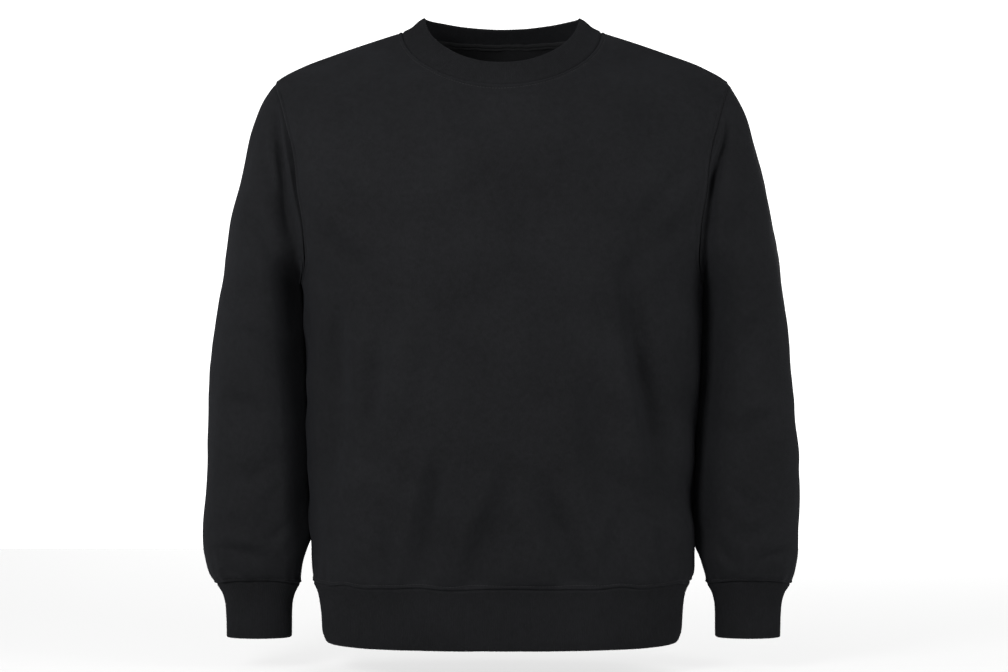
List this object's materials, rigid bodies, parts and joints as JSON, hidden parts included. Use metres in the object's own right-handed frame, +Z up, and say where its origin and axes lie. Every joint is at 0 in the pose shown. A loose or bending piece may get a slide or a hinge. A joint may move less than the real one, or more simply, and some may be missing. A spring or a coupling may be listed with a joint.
{
  "type": "crewneck sweatshirt",
  "caption": "Long-sleeved crewneck sweatshirt with set-in sleeves and ribbed neck, cuffs and hem, hollow and filled out as if worn, with its arms hanging at its sides.",
  "frame": {"origin": "midway between the two high shoulder points, where the wearer's shoulders hold the garment up", "axes": "+Z up towards the neck, -Y the garment's front, +X the wearer's left sleeve"},
  "size_m": [0.6736, 0.2422, 0.7088],
  "materials": {
    "fleece": "black sweatshirt fleece with a fine plain-knit face, matt",
    "rib": "black knitted rib, matt"
  },
  "bodies": {
    "root": {"front_panel": "fleece", "back_panel": "fleece", "sleeve_left": "fleece", "sleeve_right": "fleece", "neck_rib": "rib", "hem_band": "rib", "cuff_left": "rib", "cuff_right": "rib"}
  },
  "joints": []
}
